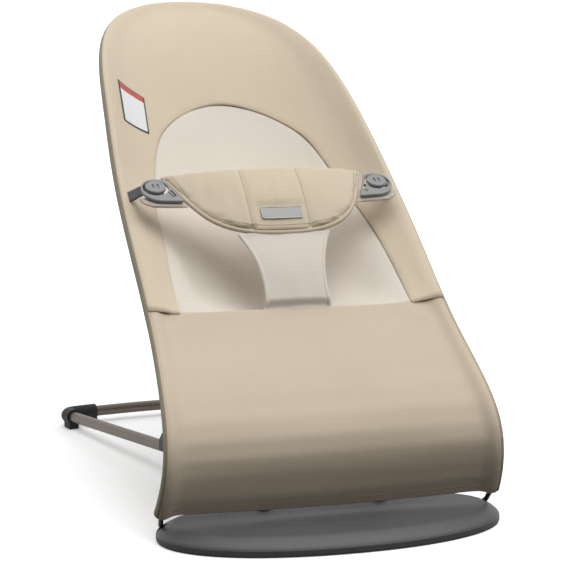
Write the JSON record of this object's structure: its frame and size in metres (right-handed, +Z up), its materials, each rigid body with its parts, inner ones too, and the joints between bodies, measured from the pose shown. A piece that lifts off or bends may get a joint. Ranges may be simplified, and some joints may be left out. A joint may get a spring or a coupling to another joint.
{
  "type": "baby bouncer seat",
  "caption": "Baby bouncer: slung fabric seat with button-on harness on a bent wire frame, hinged to an oval footplate with a tube base.",
  "frame": {"origin": "centre of the whole object's plan, on the floor", "axes": "+X to the right seen from the front, +Y from the footplate towards the head end, +Z up"},
  "size_m": [0.398, 0.7805, 0.5615],
  "materials": {
    "footplate_plastic": "matte moulded plastic, fine texture",
    "footplate_underplate": "matte black moulded plastic",
    "rubber": "matte charcoal rubber",
    "screw_steel": "zinc plated",
    "black_plastic": "matte black moulded plastic",
    "tube_metal": "satin champagne silver coating",
    "black_rod": "satin black powder coat",
    "leg_cotton": "plain woven cotton, khaki",
    "outer_cotton": "plain woven cotton, khaki",
    "belt_cotton": "plain woven cotton, khaki",
    "jersey": "soft jersey knit, greige",
    "tab_fabric": "soft jersey, grey beige",
    "webbing": "woven webbing, charcoal",
    "buckle_plastic": "satin grey moulded plastic",
    "badge_metal": "brushed, blank",
    "label_tape": "woven label tape, no lettering"
  },
  "bodies": {
    "base": {"footplate_cover": "footplate_plastic", "footplate_base": "footplate_underplate", "footplate_grip": "rubber", "footplate_screws": "screw_steel", "hinge_bush_left": "black_plastic", "hinge_bush_right": "black_plastic", "base_tube": "tube_metal", "rear_foot_left": "rubber", "rear_foot_right": "rubber", "notch_rack_left": "black_plastic", "notch_rack_right": "black_plastic"},
    "legs": {"spring_rod_left": "black_rod", "spring_rod_right": "black_rod", "stop_collar_left": "black_plastic", "stop_collar_right": "black_plastic", "bail_clip_left": "black_plastic", "bail_clip_right": "black_plastic", "rod_casing_left": "leg_cotton", "rod_casing_right": "leg_cotton", "leg_panel": "leg_cotton"},
    "bail": {"support_bail": "tube_metal"},
    "back": {"seat_tube": "tube_metal", "edge_casing": "outer_cotton", "inner_panel": "jersey", "outer_cover": "outer_cotton", "back_lining": "outer_cotton", "care_label": "label_tape", "strap_left": "webbing", "strap_right": "webbing", "strap_knob_left": "buckle_plastic", "strap_knob_right": "buckle_plastic"},
    "harness": {"harness_belt": "belt_cotton", "belt_piping": "belt_cotton", "crotch_strip": "jersey", "buckle_plate_left": "buckle_plastic", "buckle_plate_right": "buckle_plastic", "belt_tab_left": "tab_fabric", "belt_tab_right": "tab_fabric", "belt_badge": "badge_metal"}
  },
  "joints": [
    {"name": "recline", "type": "hinge", "parent": "base", "child": "legs", "pos_m": [0, -0.2822, 0.0125], "axis": [-1, 0, 0], "range_deg": [0, 33]},
    {"name": "bail_swing", "type": "hinge", "parent": "legs", "child": "bail", "pos_m": [0, -0.2342, 0.168], "axis": [1, 0, 0], "range_deg": [0, 51.2]},
    {"name": "bounce", "type": "hinge", "parent": "legs", "child": "back", "pos_m": [0, -0.175, 0.2227], "axis": [-1, 0, 0], "range_deg": [-3, 5], "stiffness_Nm_per_rad": 150, "springref_deg": -0.63},
    {"name": "harness_open", "type": "hinge", "parent": "back", "child": "harness", "pos_m": [0, -0.1802, 0.229], "axis": [1, 0, 0], "range_deg": [0, 140]}
  ],
  "couplings": [
    {"joint": "bail_swing", "follows": "recline", "ratio": 1.55}
  ]
}
